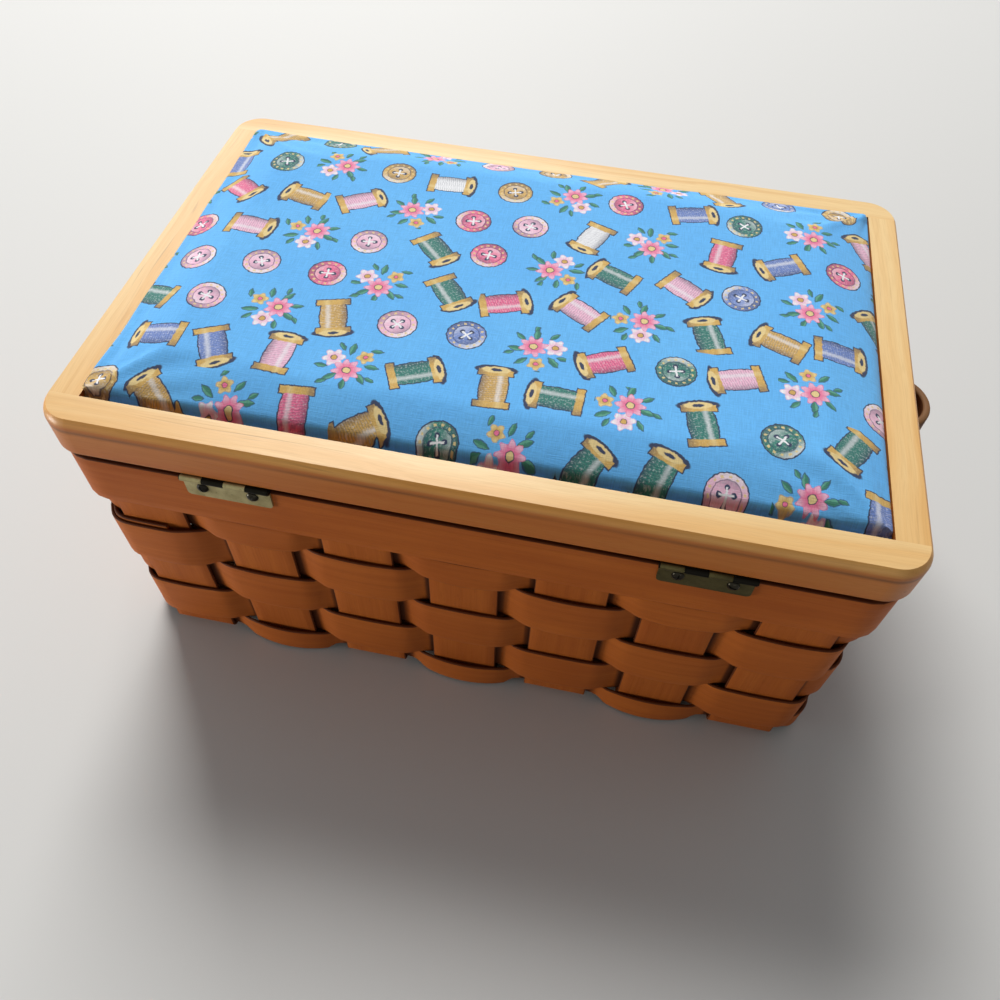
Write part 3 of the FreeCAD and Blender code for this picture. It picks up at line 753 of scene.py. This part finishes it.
def drawSpool(ground, a, b, thread, worn):
    far = abs(a + 1.0)
    body = (far - 7.0).most(abs(b) - (5.3 - far * far * 0.014))
    flange = (abs(far - 8.3) - 1.5).most(abs(b) - 6.7)
    end = (radial(a - 8.8, b, 2.1, 6.7) - 1.0) * 2.0
    colour = ink(body.least(flange).least(end) - 0.5).mix(ground, cotton["line"])
    wind = a * 6.4 + b * 0.9
    wound = (wind.maths("SINE", wind).step(-0.3, 0.9) * 0.32).mix(thread, cotton["line"])
    wound = (ink(abs(b + 2.1) - 0.9, 0.8) * 0.55).mix(wound, cotton["white"])
    wound = (b.step(1.6, 5.4) * 0.55).mix(wound, cotton["line"])
    wound = (worn * 0.45).mix(wound, cotton["white"])
    colour = ink(body).mix(colour, wound)
    wood = (ink(abs(b + 2.6) - 1.0, 1.2) * 0.7).mix(cotton["gold"], cotton["paleGold"])
    wood = (b.step(2.0, 6.4) * 0.5).mix(wood, cotton["line"])
    wood = (worn * 0.5).mix(wood, cotton["paleGold"])
    colour = ink(flange).mix(colour, wood)
    colour = ink(end + 0.35).mix(colour, cotton["paleGold"])
    hole = (radial(a - 8.8, b, 0.75, 2.2) - 1.0) * 0.8
    return ink(hole).mix(colour, cotton["line"])


def drawButton(ground, a, b, dye, worn):
    far = radial(a, b)
    base = (worn * 0.5).mix(dye, cotton["white"])
    slope = (b * 0.8 - a * 0.5) / 8.0
    colour = ink(far - 8.1).mix(ground, cotton["line"])
    raised = ((1.0 - slope.step(-0.9, 0.2)) * 0.5).mix(base, cotton["line"])
    raised = (slope.step(0.2, 0.95) * 0.75).mix(raised, cotton["white"])
    colour = ink(far - 7.6).mix(colour, raised)
    angle = a.maths("ARCTAN2", b, a) * 14.0
    dots = angle.maths("COSINE", angle).step(0.2, 0.6) * ink(abs(far - 6.4) - 0.45)
    colour = (dots * 0.9).mix(colour, cotton["paleGold"])
    dish = (slope.step(0.0, 0.7) * 0.45).mix(base, cotton["line"])
    dish = ((1.0 - slope.step(-0.7, 0.0)) * 0.45).mix(dish, cotton["white"])
    colour = (ink(far - 5.5) * 0.75).mix(colour, cotton["line"])
    colour = ink(far - 5.15).mix(colour, dish)
    holes = radial(abs(a) - 1.85, abs(b) - 1.85) - 1.05
    colour = ink(holes).mix(colour, cotton["line"])
    cross = (abs(a - b).least(abs(a + b)) * 0.707 - 0.4).most(far - 2.7)
    return ink(cross).mix(colour, cotton["white"])


def drawDaisy(ground, a, b, radius, petals, outer, inner, eye):
    far = radial(a, b)
    angle = a.maths("ARCTAN2", b, a) * petals
    wave = angle.maths("COSINE", angle)
    edge = far - (wave * 0.17 + 0.83) * radius
    colour = (ink(edge - 0.4) * 0.8).mix(ground, inner)
    petal = far.step(radius * 0.25, radius * 0.95).mix(inner, outer)
    petal = ((1.0 - wave.step(-1.0, -0.5)) * 0.55).mix(petal, inner)
    colour = ink(edge).mix(colour, petal)
    colour = ink(far - radius * 0.32).mix(colour, cotton["line"])
    return ink(far - radius * 0.26).mix(colour, eye)


def drawLeaf(ground, a, b, length, width, turn):
    p = a * math.cos(turn) + b * math.sin(turn)
    q = b * math.cos(turn) - a * math.sin(turn)
    share = p / length
    edge = (abs(q) - (1.0 - share * share) * width).most(abs(p) - length)
    colour = (ink(edge - 0.35) * 0.8).mix(ground, cotton["line"])
    green = q.step(-0.5, 0.5).mix(cotton["leaf"], cotton["paleLeaf"])
    green = ink(abs(q) - 0.16).mix(green, cotton["leaf"])
    return ink(edge).mix(colour, green)


# a sprig's leaves: place, half length, half width and turn; its daisies: place, radius, petals and dyes
leaves = ((-4.2, 7.4, 3.2, 1.15, 2.0), (7.4, 5.4, 3.2, 1.15, 0.5), (10.6, -0.9, 2.5, 0.9, -0.3),
          (-8.6, 1.8, 2.8, 1.0, 2.8), (-1.6, -8.6, 3.2, 1.15, -1.9), (-11.0, -6.6, 2.3, 0.85, 2.9),
          (2.4, 9.8, 2.6, 0.95, 1.3), (-7.6, 8.4, 2.0, 0.8, 2.5), (10.4, 7.4, 2.0, 0.8, 0.2),
          (2.2, -10.4, 2.3, 0.85, -1.2))
daisies = ((-6.4, -3.8, 3.3, 5.0, "paleGold", "gold", "pink"),
           (5.6, -4.6, 4.4, 6.0, "white", "palePink", "gold"),
           (0.8, 2.6, 5.6, 8.0, "palePink", "pink", "paleGold"))


def drawSprig(ground, a, b):
    colour = ground
    for x, y, length, width, turn in leaves:
        colour = drawLeaf(colour, a - x, b - y, length, width, turn)
    for x, y, radius, petals, *dyes in daisies:
        colour = drawDaisy(colour, a - x, b - y, radius, petals, *(cotton[dye] for dye in dyes))
    return colour


# three random numbers for one cell of the print
def rollDice(start, col, row):
    place = {"Vector": start.vector(col, row)}
    return start.add("TexWhiteNoise", {"noise_dimensions": "2D"}, place, "Color").parts()


def cottonFinish():
    finish, start = newFinish("printedCotton")
    x, y, z = (axis * 1000.0 for axis in start.place().parts())
    wide, deep = cotton["cell"]
    rowAt = y / deep
    row = rowAt.maths("FLOOR", rowAt)
    half = row * 0.5
    colAt = x / wide + half.maths("FRACT", half)
    col = colAt.maths("FLOOR", colAt)
    playX, playY, turn = rollDice(start, col + 0.5, row + 0.5)
    kind, shade, spare = rollDice(start, col + 40.5, row + 9.5)
    a = (colAt - col - 0.5) * wide - (playX - 0.5) * cotton["play"][0]
    b = (rowAt - row - 0.5) * deep - (playY - 0.5) * cotton["play"][1]
    a = a + (start.cloud(start.vector(x * 0.6, y * 0.6, 3.0), 2.0) - 0.5) * 1.1
    b = b + (start.cloud(start.vector(x * 0.6, y * 0.6, 8.0), 2.0) - 0.5) * 1.1
    worn = start.cloud(start.vector(x * 1.1, y * 1.1), 3.0, 0.65).step(0.48, 0.72)
    angle = turn * 6.2832
    cosine, sine = angle.maths("COSINE", angle), angle.maths("SINE", angle)
    a, b = a * cosine + b * sine, b * cosine - a * sine
    stops = [(0.0, cotton["gold"]), (0.2, cotton["teal"]), (0.42, cotton["pink"]), (0.58, cotton["palePink"]),
             (0.76, cotton["blue"]), (0.9, cotton["white"])]
    dye = start.add("ValToRGB", {"stops": (stops, "CONSTANT")}, {"Fac": shade})
    wash = start.cloud(start.vector(x * 0.02, y * 0.02), 3.0).step(0.35, 0.7)
    ground = (wash * 0.5).mix(cotton["ground"], cotton["faded"])
    sprigAt = (col + row * 2.0 + 400.0) / 4.0
    sprig = 1.0 - sprigAt.maths("FRACT", sprigAt).step(0.1, 0.12)
    spool, button = drawSpool(ground, a, b, dye, worn), drawButton(ground, a, b, dye, worn)
    colour = kind.step(0.599, 0.6).mix(spool, button)
    colour = sprig.mix(colour, drawSprig(ground, a, b))
    warp = start.cloud(start.vector(x * 2.6, y * 0.16), 2.0)
    weft = start.cloud(start.vector(x * 0.16, y * 2.6), 2.0)
    thread = warp + weft
    colour = (thread.step(0.75, 1.25) * 0.16).mix(colour, cotton["line"])
    closeFinish(start, {"Base Color": colour, "Roughness": 0.78 + thread * 0.08, "Sheen Weight": 0.12,
                        "Normal": bumped(start, thread, 0.12 * mm)})
    return finish


# Padded panel: the cotton is drawn over a pad and its board, and folded under the board

# insets and rises give the crown's section in millimetres, from the edge to the middle
panel = dict(drop=1.3 * mm, bulge=0.5 * mm, step=2.6 * mm, corner=2.5 * mm, crest=0.9, pressure=1.2,
             frames=20, cap=3.0 * mm, sway=0.35 * mm, swayRise=4 * mm, puff=1.8 * mm, puffRise=0.6 * mm,
             band=4 * mm, tuck=1.7 * mm, pull=2.2 * mm, fold=14.0 * mm,
             edgeSteps=(0.0, 0.25, 0.6, 1.1, 1.8, 2.8, 4.2, 6.0, 8.2),
             insets=(0.0, 0.3, 0.8, 1.6, 3.0, 5.2, 9.0, 15.0, 26.0, 44.4),
             rises=(0.0, 1.0, 2.1, 3.3, 4.6, 5.8, 7.0, 8.1, 9.3, 10.0))


# a point of the rectangle drawn into the rounded rectangle, with its distance from the edge
def roundedPoint(x, y, halfX, halfY, corner):
    dx, dy = abs(x) - halfX + corner, abs(y) - halfY + corner
    if dx > 0 and dy > 0:
        share = max(dx, dy) / math.hypot(dx, dy)
        x = math.copysign(halfX - corner + dx * share, x)
        y = math.copysign(halfY - corner + dy * share, y)
    return x, y, min(corner - max(dx, dy), min(halfX, halfY))


def crownAt(inset):
    pairs = list(zip(panel["insets"], panel["rises"]))
    for (near, low), (far, high) in zip(pairs, pairs[1:]):
        if inset / mm <= far:
            return (low + (high - low) * (inset / mm - near) / (far - near)) * mm
    return panel["rises"][-1] * mm


def panelSteps(half):
    rim = [half - inset * mm for inset in panel["edgeSteps"]]
    count = math.ceil(2 * rim[-1] / panel["step"])
    middle = spread(-rim[-1], rim[-1], count + 1)
    return [-place for place in rim[:-1]] + middle + list(reversed(rim[:-1]))


cottonCloth = dict(quality=6, mass=0.2, tension_stiffness=14, compression_stiffness=14, shear_stiffness=6,
                   bending_stiffness=0.5, use_pressure=True, uniform_pressure_force=panel["pressure"])


# the sheet swells under pressure with its edge held, and no point moves further than the cap
def swell(sheet, held):
    sheet.vertex_groups.new(name="held").add(held, 1.0, "REPLACE")
    cloth = sheet.modifiers.new("swell", "CLOTH")
    for key, value in cottonCloth.items():
        setattr(cloth.settings, key, value)
    cloth.settings.vertex_group_mass = "held"
    cloth.settings.effector_weights.gravity = 0
    cloth.point_cache.frame_end = panel["frames"]
    for moment in range(1, panel["frames"] + 1):
        bpy.context.scene.frame_set(moment)
    swollen = sheet.evaluated_get(bpy.context.evaluated_depsgraph_get()).data
    points = []
    for before, after in zip(sheet.data.vertices, swollen.vertices):
        move = after.co - before.co
        points.append(before.co + move * min(1.0, panel["cap"] / max(move.length, 1e-9)))
    bpy.context.scene.frame_set(1)
    return points


def addPanel():
    low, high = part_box("panel_cover")
    boardLow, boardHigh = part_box("panel_board")
    halfX, halfY = high.x + panel["bulge"], high.y + panel["bulge"]
    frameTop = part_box("lid_front_rail")[1].z
    edgeZ = frameTop - panel["drop"]
    crown = (high.z - edgeZ) / (panel["rises"][-1] * mm)
    xs, ys = panelSteps(halfX), panelSteps(halfY)
    across, deep = len(xs), len(ys)
    points = []
    for y in ys:
        for x in xs:
            px, py, inset = roundedPoint(x, y, halfX, halfY, panel["corner"])
            points.append(Vector((px, py, edgeZ + crownAt(inset) * crown * panel["crest"])))
    faces = [(j * across + i, j * across + i + 1, (j + 1) * across + i + 1, (j + 1) * across + i)
             for j in range(deep - 1) for i in range(across - 1)]
    border = list(range(across)) + [j * across + across - 1 for j in range(1, deep)]
    border += [(deep - 1) * across + i for i in reversed(range(across - 1))]
    border += [j * across for j in reversed(range(1, deep - 1))]
    finish = cottonFinish()
    sheet = addMesh("panelSheet", points, faces, finish)
    points = swell(sheet, border)
    bpy.data.objects.remove(sheet)
    for point in points:
        rise = min(1.0, max(0.0, point.z - edgeZ) / panel["swayRise"])
        point.z += panel["sway"] * rise * noise.noise(point * 28)
        point.z = min(point.z, high.z)
        edges = halfX + point.x, halfY - point.y, halfY + point.y
        left, far, near = (max(0.0, 1 - edge / panel["band"]) for edge in edges)
        near *= near * (3 - 2 * near)
        point.z += panel["drop"] * max(left, far) * (1 - near)
        over = min(1.0, max(0.0, (point.z - frameTop) / panel["puffRise"] - 0.2))
        puff = panel["puff"] * over * (0.8 + 0.5 * noise.noise(point * 45))
        point.x = max(-halfX, min(halfX, point.x)) - puff * left
        point.y = max(-halfY, min(halfY, point.y)) + puff * far + panel["pull"] * near
        point.z -= panel["tuck"] * near
    print("pad crown: %.1f mm" % (max(point.z for point in points) / mm - edgeZ / mm))
    # the cover's way on from the edge, as loops of inset and height: down the side, under the board and back
    gap, under, over = halfX - boardHigh.x, boardLow.z - 0.07 * mm, boardHigh.z + 0.06 * mm
    low = low.z + 0.08 * mm
    inner = panel["fold"] + gap
    side = panel["bulge"]
    loops = [(0.15 * mm, edgeZ - 1 * mm), (side, edgeZ - 3.5 * mm), (side + 0.2 * mm, edgeZ - 6.5 * mm),
             (side, low + 1.3 * mm), (side + 0.2 * mm, low + 0.4 * mm), (side + 0.9 * mm, low),
             (4 * mm, low), (9 * mm, low),
             (inner - 0.5 * mm, low), (inner, (low + under) / 2), (inner - 0.5 * mm, under), (8 * mm, under),
             (gap - 0.05 * mm, under), (gap - 0.05 * mm, over), (4 * mm, over), (12 * mm, over)]
    rims = [(xs[k % across], ys[k // across]) for k in border]
    last = border
    for away, z in loops:
        fresh = range(len(points), len(points) + len(border))
        inX, inY, corner = halfX - away, halfY - away, max(panel["corner"] - away, 0.5 * mm)
        for x, y in rims:
            newX, newY, unused = roundedPoint(x * inX / halfX, y * inY / halfY, inX, inY, corner)
            points.append(Vector((newX, newY, z)))
        for k in range(len(border)):
            m = (k + 1) % len(border)
            faces.append((last[m], last[k], fresh[k], fresh[m]))
        last = fresh
    faces.append(list(reversed(last)))
    cover = addMesh("paddedPanel", points, faces, finish)
    settle(cover, "lid", "printed_cotton", "panel_cover", "panel_pad")


addPanel()
print("padded panel")


# Floor, light and camera

stage = dict(floor=tint(0.60, 0.60, 0.59), floorSize=12.0, above=tint(0.92, 0.96, 1.0), aboveLight=0.44,
             around=tint(1.0, 0.95, 0.9), aroundLight=0.055, backdrop=tint(0.80, 0.81, 0.82),
             beyond=0.6, upward=0.8, lampAim=(0.0, 0.0, 0.08))


def addFloor():
    finish, start = newFinish("paleFloor")
    closeFinish(start, {"Base Color": stage["floor"], "Roughness": 0.65})
    half = stage["floorSize"] / 2
    points = [(-half, -half, 0.0), (half, -half, 0.0), (half, half, 0.0), (-half, half, 0.0)]
    floor = addMesh("floor", points, [(0, 1, 2, 3)], finish)
    floor.location.z = -0.05 * mm


# the room's light comes mostly from above and beyond
def addWorld():
    world = bpy.data.worlds.new("softRoom")
    bpy.context.scene.world = world
    world.use_nodes = True
    world.node_tree.nodes.clear()
    start = Wire(world.node_tree)
    around = start.add("Background", None, {"Color": stage["around"], "Strength": stage["aroundLight"]})
    above = start.add("Background", None, {"Color": stage["above"], "Strength": stage["aboveLight"]})
    seen = start.add("Background", None, {"Color": stage["backdrop"], "Strength": 1.0})
    x, y, z = start.place("Generated").parts()
    high = (y * stage["beyond"] + z * stage["upward"]).most(0.0)
    light = start.add("MixShader", None, {0: high * high, 1: around, 2: above})
    camera, glossy, through = (start.add("LightPath", None, None, "Is %s Ray" % kind)
                               for kind in ("Camera", "Glossy", "Transmission"))
    shown = (camera + glossy + through).least(1.0)
    start.add("OutputWorld", None, {"Surface": start.add("MixShader", None, {0: shown, 1: light, 2: seen})})


lamps = dict(
    window=dict(place=(-0.9, 2.15, 2.6), size=(1.6, 1.6), power=142.0, colour=(1.0, 0.985, 0.96)),
    room=dict(place=(-1.0, -0.48, 0.08), size=(0.3, 0.13), power=5.7, colour=(1.0, 0.985, 0.96)),
    front=dict(place=(0.5, -1.3, 0.4), size=(0.9, 0.6), power=1.4, colour=(1.0, 0.96, 0.91)),
)


def addLamp(name, place, size, power, colour):
    light = bpy.data.lights.new(name, "AREA")
    light.shape = "RECTANGLE"
    light.size, light.size_y = size
    light.energy = power
    light.color = colour
    lamp = bpy.data.objects.new(name, light)
    lamp.location = place
    aim = Vector(stage["lampAim"]) - Vector(place)
    lamp.rotation_euler = aim.to_track_quat("-Z", "Y").to_euler()
    bpy.context.scene.collection.objects.link(lamp)


cameraView = dict(place=(0.04426, -0.28560, 0.39813), aim=(0.01450, -0.10708, 0.1545), roll=2.571, lens=31.14)


def addCamera():
    camera = bpy.data.objects.new("camera", bpy.data.cameras.new("camera"))
    camera.data.sensor_width = 36.0
    camera.data.lens = cameraView["lens"]
    camera.data.clip_start = 0.01
    place = Vector(cameraView["place"])
    level = (Vector(cameraView["aim"]) - place).to_track_quat("-Z", "Y").to_matrix().to_4x4()
    roll = Matrix.Rotation(math.radians(cameraView["roll"]), 4, "Z")
    camera.matrix_world = Matrix.Translation(place) @ level @ roll
    bpy.context.scene.collection.objects.link(camera)
    bpy.context.scene.camera = camera


addFloor()
addWorld()
for name, settings in lamps.items():
    addLamp(name, **settings)
addCamera()
print("stage set")
